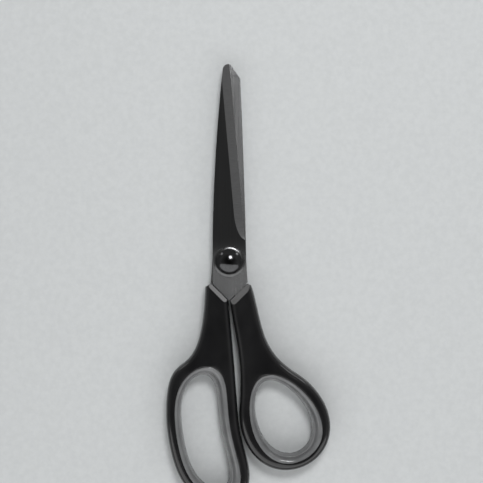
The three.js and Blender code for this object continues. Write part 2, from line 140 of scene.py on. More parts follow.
def v_height(x, clearance):
    """The V face's height beside the centre line, moved towards the pivot by a clearance."""
    return -V_DEPTH + clearance / math.cos(V_ANGLE) + abs(x) * math.tan(V_ANGLE)


def edge_x(y):
    """Where the cutting edge and the straight side below it run, in the half's own frame."""
    heights = [v_height(RICASSO_WIDTH, COLLAR_CLEARANCE), HEEL_REACH, BLADE_REACH - NOSE_DROP]
    return np.interp(y, heights, [-RICASSO_WIDTH, -EDGE_AT_HEEL, -EDGE_AT_TIP])


def grind_width(y):
    """How far the bevel reaches in from the edge: full width, then falling away round the plunge."""
    left = np.clip(1 - (y - PLUNGE_END) / PLUNGE_LENGTH, 0, 1)
    return GRIND_WIDTH * np.sqrt(1 - left**2)


def grind_depth(x, y):
    width = np.maximum(grind_width(y), 1e-9)
    share = np.clip(1 - (x - edge_x(y)) / width, 0, 1)
    return share * width / GRIND_WIDTH * (BLADE_INNER - BLADE_OUTER - EDGE_THICKNESS)


def tang_frame(lean):
    """Where the tang's own points go: hung from the V face, leaning out by an angle."""
    turn = np.array([[math.cos(lean), -math.sin(lean)], [math.sin(lean), math.cos(lean)]])
    return turn, np.array([-TANG_ROOT, v_height(TANG_ROOT, 0)])


def tang_outline(lean, grow):
    turn, root = tang_frame(lean)
    end_half = TANG_END_WIDTH / 2 + grow
    end_y = end_half - TANG_LENGTH - grow
    sweep = np.linspace(math.pi, 2 * math.pi, TANG_END_STEPS + 1)
    end = np.column_stack([end_half * np.cos(sweep), end_y + end_half * np.sin(sweep)])
    root_half = TANG_WIDTH / 2 + grow
    strip = np.vstack([[-root_half, TANG_WIDTH], end, [root_half, TANG_WIDTH]])
    anchor = circle(0, -ANCHOR_REACH, ANCHOR_RADIUS - grow, ANCHOR_STEPS)
    return strip @ turn + root, anchor @ turn + root


def tang_below_v(lean):
    """The tang's outline where it leaves the V face, from its outer side round to its inner side."""
    strip, anchor = tang_outline(lean, 0)
    level = v_height(0, COLLAR_CLEARANCE)
    ends = []
    for high, low in ((strip[0], strip[1]), (strip[-1], strip[-2])):
        share = (level - high.sum()) / (low.sum() - high.sum())
        ends.append(high + share * (low - high))
    return np.vstack([ends[0], strip[1:-1], ends[1]]), anchor


def piece_from(name, corners, faces, turned_over):
    """A mesh piece from corners in a half's own frame, with its faces turned outwards."""
    side = -1 if turned_over else 1
    corners = np.asarray(corners, float) * (side, 1, side) + (0, 0, MEETING_Z)
    mesh = bpy.data.meshes.new(name)
    mesh.from_pydata(corners.tolist(), [], faces)
    shaped = bmesh.new()
    shaped.from_mesh(mesh)
    bmesh.ops.recalc_face_normals(shaped, faces=shaped.faces[:])
    shaped.to_mesh(mesh)
    shaped.free()
    piece = bpy.data.objects.new(name, mesh)
    bpy.context.scene.collection.objects.link(piece)
    return piece


def baked(piece, crease):
    """Turns a piece's modifiers into plain mesh, smooth apart from edges sharper than an angle."""
    graph = bpy.context.evaluated_depsgraph_get()
    mesh = bpy.data.meshes.new_from_object(piece.evaluated_get(graph))
    drawn = piece.data
    piece.modifiers.clear()
    piece.data = mesh
    bpy.data.meshes.remove(drawn)
    mesh.name = piece.name
    mesh.shade_smooth()
    mesh.set_sharp_from_angle(angle=crease)
    return piece


def filled(*paths):
    """Triangles that fill an outline, leaving out the holes in it."""
    return tessellate_polygon([[(x, y, 0) for x, y in path] for path in paths])


def ground_blade(name, spine, belly, tip_width, tip_clip, tip_round, tang_lean, turned_over):
    clip_y = BLADE_REACH - tip_clip
    nose = np.array((NOSE_SIDE, BLADE_REACH))
    clip = np.array((tip_width, clip_y))
    corner = (nose + clip) / 2 + ((tip_width, BLADE_REACH) - (nose + clip) / 2) * tip_round
    edge_top = np.array((-EDGE_AT_TIP, BLADE_REACH - NOSE_DROP))
    back = np.vstack([
        (0, v_height(0, COLLAR_CLEARANCE)),
        (spine, v_height(spine, COLLAR_CLEARANCE)),
        (spine, SPINE_BASE_REACH),
        bow((spine, SPINE_BASE_REACH), (belly, SPINE_BELLY_REACH), clip, BACK_STEPS),
        bow(clip, corner, nose, TIP_STEPS),
        bow(nose, (-EDGE_AT_TIP, BLADE_REACH), edge_top, NOSE_STEPS),
    ])
    # The bevel's upper line runs out of the blade where it meets the back
    spare = back[:, 0] - edge_x(back[:, 1]) - GRIND_WIDTH
    last = next(i for i in range(2, len(back)) if spare[i + 1] < 0)
    share = spare[last] / (spare[last] - spare[last + 1])
    run_out = back[last] + share * (back[last + 1] - back[last])
    back = np.insert(back, last + 1, run_out, axis=0)
    run_out_index = last + 1
    plunge_top = PLUNGE_END + PLUNGE_LENGTH
    swing = np.linspace(0, math.pi / 2, PLUNGE_STEPS + 1)[1:]
    stations = np.concatenate([
        np.linspace(edge_top[1], run_out[1], RUN_OUT_STEPS + 1)[1:],
        np.linspace(run_out[1], plunge_top, EDGE_STEPS + 1)[1:],
        PLUNGE_END + PLUNGE_LENGTH * (1 - np.sin(swing)),
    ])
    edge = np.column_stack([edge_x(stations), stations])
    tang, anchor = tang_below_v(tang_lean)
    ricasso = (-RICASSO_WIDTH, v_height(RICASSO_WIDTH, COLLAR_CLEARANCE))
    outline = np.vstack([back, edge, ricasso, tang])
    first_edge = len(back)
    at_run_out = first_edge + RUN_OUT_STEPS - 1
    plunge_index = first_edge + len(edge) - 1
    rivet_hole = circle(0, 0, RIVET_HOLE_RADIUS, RIVET_HOLE_STEPS)

    # Corners: the outline and holes on both faces, then the bevel's upper line
    around = np.vstack([outline, rivet_hole, anchor])
    count = len(around)
    depth = grind_depth(around[:, 0], around[:, 1])
    depth[: run_out_index + 1] = 0
    depth[plunge_index:] = 0
    inner = np.column_stack([around, np.full(count, BLADE_INNER)])
    outer = np.column_stack([around, BLADE_OUTER + depth])
    line_y = edge[RUN_OUT_STEPS:-1, 1]
    line = np.column_stack([edge_x(line_y) + grind_width(line_y), line_y])
    line_start = 2 * count
    corners = np.vstack([inner, outer, np.column_stack([line, np.full(len(line), BLADE_OUTER)])])

    faces = []
    start = 0
    for path in (outline, rivet_hole, anchor):
        for i in range(len(path)):
            near, far = start + i, start + (i + 1) % len(path)
            faces.append((count + near, count + far, far, near))
        start += len(path)
    walls = len(faces)
    faces += filled(outline, rivet_hole, anchor)
    inside = len(faces)
    line_index = [count + run_out_index, *range(line_start, line_start + len(line)), count + plunge_index]
    flat_index = [*range(count, count + run_out_index + 1), *line_index[1:-1]]
    flat_index += range(count + plunge_index, count + len(outline))
    flat_index += range(count + len(outline), 2 * count)
    flat = corners[flat_index, :2]
    hole_start = len(flat) - len(rivet_hole) - len(anchor)
    anchor_start = len(flat) - len(anchor)
    for triangle in filled(flat[:hole_start], flat[hole_start:anchor_start], flat[anchor_start:]):
        faces.append([flat_index[i] for i in triangle])
    flats = len(faces)
    faces.append([count + i for i in range(run_out_index, at_run_out + 1)])
    for i in range(len(line_index) - 1):
        low = count + at_run_out + i
        faces.append(list(dict.fromkeys((low, low + 1, line_index[i + 1], line_index[i]))))

    blade = piece_from(name, corners, faces, turned_over)
    ground = blade.data.attributes.new("ground", "FLOAT", "FACE")
    ground.data.foreach_set("value", [float(i >= flats) for i in range(len(faces))])
    satin = blade.data.attributes.new("satin", "FLOAT", "FACE")
    satin.data.foreach_set("value", [float(walls <= i < inside) for i in range(len(faces))])
    soften = blade.modifiers.new("Broken corners", "BEVEL")
    soften.width = BLADE_CORNER
    soften.segments = 2
    soften.limit_method = "ANGLE"
    soften.angle_limit = BLADE_CORNER_LIMIT
    return baked(blade, BLADE_CREASE)


def node(tree, kind, inputs, **settings):
    """Adds a node and sets or links its inputs."""
    made = tree.nodes.new(kind)
    for setting, value in settings.items():
        setattr(made, setting, value)
    for socket, value in inputs.items():
        if isinstance(value, bpy.types.NodeSocket):
            tree.links.new(value, made.inputs[socket])
        else:
            made.inputs[socket].default_value = value
    return made


def finish_named(name):
    material = bpy.data.materials.new(name)
    material.use_nodes = True
    tree = material.node_tree
    place = node(tree, "ShaderNodeTexCoord", {}).outputs["Object"]
    return material, tree, tree.nodes["Principled BSDF"], place


def noise_over(tree, place, scale, detail):
    """Noise over the piece, stretched by a scale for each axis."""
    spread = node(tree, "ShaderNodeMapping", {"Vector": place, "Scale": scale})
    settings = {"Vector": spread.outputs["Vector"], "Scale": 1.0, "Detail": detail}
    return node(tree, "ShaderNodeTexNoise", settings).outputs["Fac"]


def between(tree, value, low, high):
    """A noise value, whose middle reaches from low to high."""
    reach = {"Value": value, "From Min": NOISE_LOW, "From Max": NOISE_HIGH, "To Min": low, "To Max": high}
    return node(tree, "ShaderNodeMapRange", reach).outputs["Result"]


def tones(tree, value, dark, light):
    ramp = node(tree, "ShaderNodeValToRGB", {"Fac": value})
    ramp.color_ramp.elements[0].position = NOISE_LOW
    ramp.color_ramp.elements[0].color = dark
    ramp.color_ramp.elements[1].position = NOISE_HIGH
    ramp.color_ramp.elements[1].color = light
    return ramp.outputs["Color"]


blade_steel, tree, shader, place = finish_named("polished_and_ground_stainless")
lengthwise = noise_over(tree, place, POLISHED_LENGTHWISE, 3)
crosswise = noise_over(tree, place, GROUND_CROSSWISE, 3)
bevel_share = node(tree, "ShaderNodeAttribute", {}, attribute_name="ground").outputs["Fac"]
marks = node(tree, "ShaderNodeMix", {"Factor": bevel_share, "A": lengthwise, "B": crosswise})
marks = marks.outputs["Result"]
haze = noise_over(tree, place, HAZE_SPREAD, 2)
along_blade = node(tree, "ShaderNodeSeparateXYZ", {"Vector": place}).outputs["Y"]
near_rivet = node(
    tree, "ShaderNodeMapRange", {"Value": along_blade, **UNPOLISHED}, interpolation_type="SMOOTHSTEP")
near_rivet = near_rivet.outputs["Result"]
polish = node(tree, "ShaderNodeMath", {0: between(tree, marks, *POLISH_ROUGHNESS), 1: near_rivet})
polish = polish.outputs["Value"]
polish = node(tree, "ShaderNodeMath", {0: polish, 1: between(tree, haze, *HAZE_ROUGHNESS)})
duller = node(tree, "ShaderNodeMapRange", {"Value": along_blade, **DULLER}).outputs["Result"]
satin = node(tree, "ShaderNodeMath", {0: between(tree, marks, *SATIN_ROUGHNESS), 1: duller})
satin_share = node(tree, "ShaderNodeAttribute", {}, attribute_name="satin").outputs["Fac"]
finishes = {"Factor": satin_share, "A": polish.outputs["Value"], "B": satin.outputs["Value"]}
shine = node(tree, "ShaderNodeMix", finishes)
bump = node(tree, "ShaderNodeBump", {"Height": marks, **STEEL_BUMP})
tree.links.new(tones(tree, marks, STEEL_DARK, STEEL_LIGHT), shader.inputs["Base Color"])
tree.links.new(shine.outputs["Result"], shader.inputs["Roughness"])
tree.links.new(bump.outputs["Normal"], shader.inputs["Normal"])
shader.inputs["Metallic"].default_value = 1.0

rear_blade = ground_blade(
    "rear_blade_ground", REAR_SPINE, REAR_BELLY, REAR_TIP_WIDTH, REAR_TIP_CLIP, REAR_TIP_ROUND,
    FINGER_TANG_LEAN, turned_over=False,
)
rear_blade.data.materials.append(blade_steel)
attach(rear_blade, "finger_half")
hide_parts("rear_blade")

# Finger handle
# Hard glossy black plastic, moulded round the rear blade's tang and open in a long bowed loop.
# Its end is a bevelled V collar against the blade, and a fine line shows where the mould parted.

HANDLE_HALF = (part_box("finger_handle")[1].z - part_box("finger_handle")[0].z) / 2
EDGE_ROUND_WIDTH = 0.0034
EDGE_ROUND_HEIGHT = 0.0036
EDGE_FULLNESS = 2.4
LOOP_EDGE = 0.0003
PARTING_GAP = 0.001
PARTING_LEAN = math.radians(5.8)
NECK_CORNER_DROP = 0.0126
COLLAR_APEX = 0.0086
CHAMFER_ANGLE = math.radians(38)
SHOULDER_ANGLE = math.radians(30)
SHOULDER_ROUND = 0.0014
CORNER_ROUND = 0.00025
CHAMFER_TOP_ROUND = 0.0004
BEVEL_MARGIN = 0.04
FLAT_ENOUGH = 0.9999
TANG_CLEARANCE = 0.00015
# The cutting bars run on past the handle on every side, and their roundings meet its face at a slight slope
CUT_HEIGHT = HANDLE_HALF + 0.004
CUT_SETBACK = 0.03
CUT_REACH = 0.04
CHAMFER_RUN_ON = 0.003
CHAMFER_LIFT = 0.00004
SHOULDER_RUN_ON = 0.006
SHOULDER_LIFT = 0.00006
FINGER_CHAMFER_RUN = 0.0020
FINGER_NECK_HALF = 0.0114
FINGER_NECK_LEAN = math.radians(2)
FINGER_RIM = 0.004
FINGER_LOOP = {
    "x": -0.0121, "y": -0.0814, "length": 0.0621, "width": 0.026,
    "bend": 0.0053, "taper": 0.01, "fullness": 2.15, "tilt": math.radians(9.5),
}
# Where a flank leaves the bow, and how strongly it keeps its heading at its upper and lower end
FINGER_OUTER_FLANK = (math.radians(263), 0.85, 0.6)
FINGER_INNER_FLANK = (math.radians(90), 0.63, 0.1)
BOW_STEPS = 260
LOOP_STEPS = 260
FLANK_STEPS = 40
ROUND_STEPS = 12
LOOP_EDGE_STEPS = 3
CORNER_STEPS = 5
CHAMFER_TOP_STEPS = 6
SHOULDER_STEPS = 8
OVAL_SAMPLES = 4001
OVAL_STRIDE = 1e-3
HANDLE_CREASE = math.radians(24)
SEAM_RADIUS = 0.00009
SEAM_SIDES = 8
SEAM_CREASE = math.radians(60)
PLASTIC_DARK = (0.0075, 0.0075, 0.008, 1)
PLASTIC_LIGHT = (0.0125, 0.0125, 0.013, 1)
PLASTIC_ROUGHNESS = (0.10, 0.18)
PLASTIC_IOR = 1.56
PLASTIC_BUMP = {"Strength": 0.05, "Distance": 0.00002}
PEEL_SPREAD = (900, 900, 900)
SMEAR_SPREAD = (90, 60, 90)


def on_oval(loop, angle):
    """Points of a loop's oval, counter-clockwise from its lower end, its sides tapered and bowed."""
    along = np.sign(np.cos(angle)) * np.abs(np.cos(angle)) ** (1 / loop["fullness"])
    across = np.sin(angle) * (1 + loop["taper"] * along)
    down = loop["length"] / 2 * along
    side = loop["width"] / 2 * across + loop["bend"] * along**2
    lean_x, lean_y = math.sin(loop["tilt"]), math.cos(loop["tilt"])
    return np.column_stack([
        loop["x"] + side * lean_y + down * lean_x,
        loop["y"] - down * lean_y + side * lean_x,
    ])


def unit(rows):
    return rows / np.linalg.norm(rows, axis=-1, keepdims=True)


def oval_stretch(loop, outset, start, end, steps):
    """Evenly spaced points and headings along part of an oval, set out from it by a distance."""
    angle = np.linspace(start, end, OVAL_SAMPLES)
    run = unit(on_oval(loop, angle + OVAL_STRIDE) - on_oval(loop, angle - OVAL_STRIDE))
    points = on_oval(loop, angle) + outset * np.column_stack([run[:, 1], -run[:, 0]])
    walked = np.concatenate([[0], np.cumsum(np.linalg.norm(np.diff(points, axis=0), axis=1))])
    stops = np.linspace(0, walked[-1], steps + 1)
    even = np.column_stack([np.interp(stops, walked, points[:, i]) for i in (0, 1)])
    return even, run[0], run[-1]


def closed_oval(loop, outset, steps):
    return oval_stretch(loop, outset, 0, 2 * math.pi, steps)[0][:-1]


def flank(start, start_run, start_pull, end, end_run, end_pull):
    """A smooth side between two points, leaving and arriving along given headings."""
    reach = np.linalg.norm(end - start)
    first = start + start_run * start_pull * reach
    second = end - end_run * end_pull * reach
    t = np.linspace(0, 1, FLANK_STEPS + 1)[:, None]
    return ((1 - t) ** 3 * start + 3 * t * (1 - t) ** 2 * first
            + 3 * t**2 * (1 - t) * second + t**3 * end)


def handle_outline(bow_oval, rim, outer_flank, inner_flank, neck_half, neck_lean, parting_lean):
    """The handle's outline, counter-clockwise, running on past the V as far as the pivot."""
    outer_leave, outer_upper, outer_lower = outer_flank
    inner_leave, inner_upper, inner_lower = inner_flank
    hoop, hoop_start, hoop_end = oval_stretch(
        bow_oval, rim, outer_leave, 2 * math.pi + inner_leave, BOW_STEPS)
    neck_run = np.array([-math.sin(neck_lean), -math.cos(neck_lean)])
    parting_run = np.array([-math.sin(parting_lean), math.cos(parting_lean)])
    outer_corner = np.array([-neck_half, -NECK_CORNER_DROP])
    inner_corner = np.array([-PARTING_GAP / 2, -V_DEPTH])
    return np.vstack([
        inner_corner + parting_run * V_DEPTH,
        outer_corner - neck_run * NECK_CORNER_DROP,
        flank(outer_corner, neck_run, outer_upper, hoop[0], hoop_start, outer_lower),
        hoop[1:],
        flank(hoop[-1], hoop_end, inner_lower, inner_corner, parting_run, inner_upper)[1:],
    ])


def inset(outline, distance):
    before = unit(outline - np.roll(outline, 1, axis=0))
    after = np.roll(before, -1, axis=0)
    run = unit(before + after)
    inward = np.column_stack([-run[:, 1], run[:, 0]])
    return outline + inward * (distance / (run * after).sum(1))[:, None]


def at_height(outline, z):
    return np.column_stack([outline, np.full(len(outline), z)])


def ring_bands(first, count, bands):
    """Four-sided faces between neighbouring rings of equal count."""
    faces = []
    for band in range(bands):
        low = first + band * count
        for i in range(count):
            j = (i + 1) % count
            faces.append((low + i, low + j, low + count + j, low + count + i))
    return faces


def rounded_corner(before, corner, after, radius, steps):
    """An arc that replaces a corner of an outline."""
    before, corner, after = np.array(before), np.array(corner), np.array(after)
    back, ahead = unit(before - corner), unit(after - corner)
    half = math.acos(np.clip(back @ ahead, -1, 1)) / 2
    centre = corner + unit(back + ahead) * radius / math.sin(half)
    start = corner + back * radius / math.tan(half) - centre
    end = corner + ahead * radius / math.tan(half) - centre
    sweep = math.acos(np.clip(start @ end / radius**2, -1, 1))
    share = np.linspace(0, 1, steps + 1)[:, None]
    return centre + (np.sin((1 - share) * sweep) * start + np.sin(share * sweep) * end) / math.sin(sweep)


def bar(name, profile, origin, into, along, turned_over):
    """A cutting bar: a profile of depth and height, drawn out both ways along a line."""
    into, along = np.append(into, 0), np.append(along, 0)
    start = np.append(origin, 0)
    ring = start + profile[:, :1] * into + profile[:, 1:] * np.array([0, 0, 1])
    count = len(ring)
    corners = np.vstack([ring - along * CUT_REACH, ring + along * CUT_REACH])
    faces = ring_bands(0, count, 1)
    faces += [list(range(count)), list(range(count, 2 * count))]
    return piece_from(name, corners, faces, turned_over)


def collar_bar(name, chamfer_run, turned_over):
    """Cuts the V face and the bevels above and below it, with soft corners."""
    lip_height = HANDLE_HALF - chamfer_run * math.tan(CHAMFER_ANGLE)
    face, lip, top = (0, 0), (0, lip_height), (chamfer_run, HANDLE_HALF)
    past = (chamfer_run + CHAMFER_RUN_ON, HANDLE_HALF + CHAMFER_LIFT)
    lower_round = rounded_corner(face, lip, top, CORNER_ROUND, CORNER_STEPS)
    upper_round = rounded_corner(lip, top, past, CHAMFER_TOP_ROUND, CHAMFER_TOP_STEPS)
    slope = upper_round[0] - lower_round[-1]
    upper = np.vstack([
        lower_round,
        lower_round[-1] + slope * BEVEL_MARGIN,
        upper_round[0] - slope * BEVEL_MARGIN,
        upper_round,
        past,
        (past[0], CUT_HEIGHT),
        (-CUT_SETBACK, CUT_HEIGHT),
    ])
    profile = np.vstack([upper, upper[::-1] * (1, -1)])
    into = (-math.sin(V_ANGLE), -math.cos(V_ANGLE))
    along = (-math.cos(V_ANGLE), math.sin(V_ANGLE))
    return bar(name, profile, (0, -V_DEPTH), into, along, turned_over)


def shoulder_bar(name, turned_over):
    """Cuts the shoulder beside the V, rounded over at both faces."""
    past = (SHOULDER_RUN_ON, HANDLE_HALF + SHOULDER_LIFT)
    upper = np.vstack([
        rounded_corner((0, 0), (0, HANDLE_HALF), past, SHOULDER_ROUND, SHOULDER_STEPS),
        past,
        (past[0], CUT_HEIGHT),
        (-CUT_SETBACK, CUT_HEIGHT),
    ])
    profile = np.vstack([upper, upper[::-1] * (1, -1)])
    into = (math.sin(SHOULDER_ANGLE), -math.cos(SHOULDER_ANGLE))
    along = (-math.cos(SHOULDER_ANGLE), -math.sin(SHOULDER_ANGLE))
    apex = (-COLLAR_APEX, v_height(COLLAR_APEX, 0))
    return bar(name, profile, apex, into, along, turned_over)


def pocket_core(name, lean, turned_over):
    """The space that the tang takes up, with a post left where the plastic fills its anchor hole."""
    strip, anchor = tang_outline(lean, TANG_CLEARANCE)
    around = np.vstack([strip, anchor])
    count = len(around)
    corners = np.vstack([
        at_height(around, BLADE_OUTER - TANG_CLEARANCE),
        at_height(around, BLADE_INNER + TANG_CLEARANCE),
    ])
    faces = [tuple(triangle) for triangle in filled(strip, anchor)]
    faces += [tuple(count + i for i in triangle) for triangle in filled(strip, anchor)]
    for start, path in ((0, strip), (len(strip), anchor)):
        for i in range(len(path)):
            near, far = start + i, start + (i + 1) % len(path)
            faces.append((near, far, count + far, count + near))
    return piece_from(name, corners, faces, turned_over)


def moulded_handle(name, outline, loop, chamfer_run, tang_lean, turned_over):
    corners, faces = [], []
    turns = np.linspace(0, math.pi / 2, ROUND_STEPS + 1)
    for side, sweep in ((-1, turns[::-1]), (1, turns)):
        for turn in sweep:
            rise, reach = np.clip((math.sin(turn), math.cos(turn)), 0, 1) ** (2 / EDGE_FULLNESS)
            z = side * (HANDLE_HALF - EDGE_ROUND_HEIGHT * (1 - rise))
            corners.append(at_height(inset(outline, EDGE_ROUND_WIDTH * (1 - reach)), z))
    outer_rings = len(corners)
    faces += ring_bands(0, len(outline), outer_rings - 1)
    hole_first = outer_rings * len(outline)
    turns = np.linspace(0, math.pi / 2, LOOP_EDGE_STEPS + 1)
    for side, sweep in ((-1, turns[::-1]), (1, turns)):
        for turn in sweep:
            z = side * (HANDLE_HALF - LOOP_EDGE * (1 - math.sin(turn)))
            hole = closed_oval(loop, LOOP_EDGE * (1 - math.cos(turn)), LOOP_STEPS)
            corners.append(at_height(hole, z))
    hole_rings = len(corners) - outer_rings
    faces += ring_bands(hole_first, LOOP_STEPS, hole_rings - 1)
    for ring, hole in ((0, 0), (outer_rings - 1, hole_rings - 1)):
        index = [ring * len(outline) + i for i in range(len(outline))]
        index += [hole_first + hole * LOOP_STEPS + i for i in range(LOOP_STEPS)]
        for triangle in filled(corners[ring][:, :2], corners[outer_rings + hole][:, :2]):
            faces.append([index[i] for i in triangle])
    handle = piece_from(name, np.vstack(corners), faces, turned_over)
    cutters = [
        collar_bar("collar_cutter", chamfer_run, turned_over),
        shoulder_bar("shoulder_cutter", turned_over),
        pocket_core("tang_core", tang_lean, turned_over),
    ]
    for cutter in cutters:
        cut = handle.modifiers.new(cutter.name, "BOOLEAN")
        cut.operation = "DIFFERENCE"
        cut.solver = "EXACT"
        cut.object = cutter
    baked(handle, HANDLE_CREASE)
    for cutter in cutters:
        bpy.data.meshes.remove(cutter.data)
    # The collar's bevels are plane, so the roundings beside them don't bend their shading
    lean = math.sin(CHAMFER_ANGLE)
    bevel = np.array([lean * math.sin(V_ANGLE), lean * math.cos(V_ANGLE), math.cos(CHAMFER_ANGLE)])
    for face in handle.data.polygons:
        if np.dot(np.abs(face.normal), bevel) > FLAT_ENOUGH:
            face.use_smooth = False
    return handle


def seam_tree():
    """A fine round bead along a drawn line, for the line where two halves of a mould meet."""
    tree = bpy.data.node_groups.new("moulding_seam", "GeometryNodeTree")
    face = tree.interface
    face.new_socket("Geometry", in_out="INPUT", socket_type="NodeSocketGeometry")
    face.new_socket("Bead radius", in_out="INPUT", socket_type="NodeSocketFloat")
    face.new_socket("Bead sides", in_out="INPUT", socket_type="NodeSocketInt")
    face.new_socket("Finish", in_out="INPUT", socket_type="NodeSocketMaterial")
    face.new_socket("Geometry", in_out="OUTPUT", socket_type="NodeSocketGeometry")
    start = node(tree, "NodeGroupInput", {})
    line = node(tree, "GeometryNodeMeshToCurve", {"Mesh": start.outputs["Geometry"]})
    sizes = {"Resolution": start.outputs["Bead sides"], "Radius": start.outputs["Bead radius"]}
    round_bead = node(tree, "GeometryNodeCurvePrimitiveCircle", sizes)
    sweep = {
        "Curve": line.outputs["Curve"],
        "Profile Curve": round_bead.outputs["Curve"],
        "Fill Caps": True,
    }
    bead = node(tree, "GeometryNodeCurveToMesh", sweep)
    plain = node(tree, "GeometryNodeRealizeInstances", {"Geometry": bead.outputs["Mesh"]})
    finish = {"Geometry": plain.outputs["Geometry"], "Material": start.outputs["Finish"]}
    coated = node(tree, "GeometryNodeSetMaterial", finish)
    node(tree, "NodeGroupOutput", {"Geometry": coated.outputs["Geometry"]})
    return tree


def seam_along(name, line, closed, finish, turned_over):
    """A bead that follows a line of points in a half's own frame."""
    side = -1 if turned_over else 1
    points = np.asarray(line) * (side, 1, side) + (0, 0, MEETING_Z)
    steps = [(i, i + 1) for i in range(len(points) - 1)]
    if closed:
        steps.append((len(points) - 1, 0))
    mesh = bpy.data.meshes.new(name)
    mesh.from_pydata(points.tolist(), steps, [])
    seam = bpy.data.objects.new(name, mesh)
    bpy.context.scene.collection.objects.link(seam)
    swept = seam.modifiers.new("Moulding seam", "NODES")
    swept.node_group = moulding_seam
    inputs = {item.name: item.identifier for item in moulding_seam.interface.items_tree
              if item.in_out == "INPUT"}
    swept[inputs["Bead radius"]] = SEAM_RADIUS
    swept[inputs["Bead sides"]] = SEAM_SIDES
    swept[inputs["Finish"]] = finish
    return baked(seam, SEAM_CREASE)


black_plastic, tree, shader, place = finish_named("glossy_black_plastic")
peel = noise_over(tree, place, PEEL_SPREAD, 2)
smears = noise_over(tree, place, SMEAR_SPREAD, 3)
bump = node(tree, "ShaderNodeBump", {"Height": peel, **PLASTIC_BUMP})
tree.links.new(tones(tree, smears, PLASTIC_DARK, PLASTIC_LIGHT), shader.inputs["Base Color"])
tree.links.new(between(tree, smears, *PLASTIC_ROUGHNESS), shader.inputs["Roughness"])
tree.links.new(bump.outputs["Normal"], shader.inputs["Normal"])
shader.inputs["IOR"].default_value = PLASTIC_IOR

moulding_seam = seam_tree()
finger_outline = handle_outline(
    FINGER_LOOP, FINGER_RIM, FINGER_OUTER_FLANK, FINGER_INNER_FLANK,
    FINGER_NECK_HALF, FINGER_NECK_LEAN, PARTING_LEAN,
)
finger_handle = moulded_handle(
    "finger_handle_moulded", finger_outline, FINGER_LOOP, FINGER_CHAMFER_RUN,
    FINGER_TANG_LEAN, turned_over=False,
)
finger_handle.data.materials.append(black_plastic)
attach(finger_handle, "finger_half")
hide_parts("finger_handle")

finger_seam = seam_along(
    "finger_handle_seam", at_height(finger_outline[2:], 0), False, black_plastic, turned_over=False)
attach(finger_seam, "finger_half")

# Finger grip
# A soft grey lining moulded into the loop: a narrow rim on the far side and a broad slope on the near one.
# Its surface is satin and very finely grained, a groove follows the broad side and fades out towards the
# narrow one, and the mould's parting line runs round its crest.

GRIP_WIDTH = 0.0039
GRIP_SLANT = 0.0003
BOND_GAP = 0.0001
# Section of the lining: how far in from the wall, how far below the handle's face, and the groove's depth
GRIP_SECTION = [
    (0.0, 0.00060, 0), (0.03, 0.00032, 0), (0.10, 0.00018, 0), (0.22, 0.00020, 0),
    (0.36, 0.00040, 0), (0.48, 0.00080, 0.00004), (0.57, 0.00116, 0.00039), (0.63, 0.00130, 0.00068),
    (0.665, 0.00134, 0.00060), (0.70, 0.00136, 0.00012), (0.76, 0.00138, 0), (0.83, 0.00148, 0),
    (0.88, 0.00230, 0), (0.93, 0.00325, 0), (0.98, 0.00430, 0),
]
SECTION_STEPS = 4
FINGER_GRIP_SHIFT = 0.0009
FINGER_GRIP_AIM = math.radians(180)
RUBBER_DARK = (0.15, 0.153, 0.156, 1)
RUBBER_LIGHT = (0.195, 0.198, 0.201, 1)
RUBBER_ROUGHNESS = (0.08, 0.12)
RUBBER_IOR = 1.5
RUBBER_BUMP = {"Strength": 0.08, "Distance": 0.00003}
GRAIN_SPREAD = (3600, 3600, 3600)
CLOUD_SPREAD = (160, 160, 160)
GRIP_CREASE = math.radians(50)


def grip_section():
    """The lining's section as share of its width, height and groove, smooth, from the front to the rear."""
    share, drop, groove = np.array(GRIP_SECTION).T
    front = np.column_stack([share, HANDLE_HALF - drop, -groove])
    known = np.vstack([front, (1, 0, 0), front[::-1] * (1, -1, -1)])
    ahead = np.vstack([known[1:], known[-1:] * 2 - known[-2:-1]])
    behind = np.vstack([known[:1] * 2 - known[1:2], known[:-1]])
    heading = (ahead - behind) / 2
    made = []
    for i in range(len(known) - 1):
        for t in np.arange(SECTION_STEPS) / SECTION_STEPS:
            made.append((2 * t**3 - 3 * t**2 + 1) * known[i] + (t**3 - 2 * t**2 + t) * heading[i]
                        + (3 * t**2 - 2 * t**3) * known[i + 1] + (t**3 - t**2) * heading[i + 1])
    return np.vstack([made, known[-1:]])


def grip_rings(loop, shift, aim, slant, section):
    """Rings of the lining, from the loop's wall over the crest of the smaller slanted opening and back."""
    aim = np.array([math.cos(aim), math.sin(aim)])
    length = loop["length"] - 2 * GRIP_WIDTH
    opening = dict(
        loop, x=loop["x"] + shift * aim[0], y=loop["y"] + shift * aim[1], length=length,
        width=loop["width"] - 2 * GRIP_WIDTH, bend=loop["bend"] * (length / loop["length"]) ** 2,
    )
    wall = closed_oval(loop, -BOND_GAP, LOOP_STEPS)
    crest = closed_oval(opening, 0, LOOP_STEPS)
    breadth = np.linalg.norm(crest - wall, axis=1)
    broad = (breadth - breadth.min()) / (breadth.max() - breadth.min())
    rings = []
    for share, z, groove in section:
        slide = slant * share * z / HANDLE_HALF
        rings.append(at_height(wall + (crest - wall) * share + aim * slide, z + groove * broad))
    return rings


def lined_loop(name, loop, shift, aim, slant, turned_over):
    rings = grip_rings(loop, shift, aim, slant, grip_section())
    faces = ring_bands(0, LOOP_STEPS, len(rings) - 1)
    last = (len(rings) - 1) * LOOP_STEPS
    for i in range(LOOP_STEPS):
        j = (i + 1) % LOOP_STEPS
        faces.append((last + i, last + j, j, i))
    return baked(piece_from(name, np.vstack(rings), faces, turned_over), GRIP_CREASE)


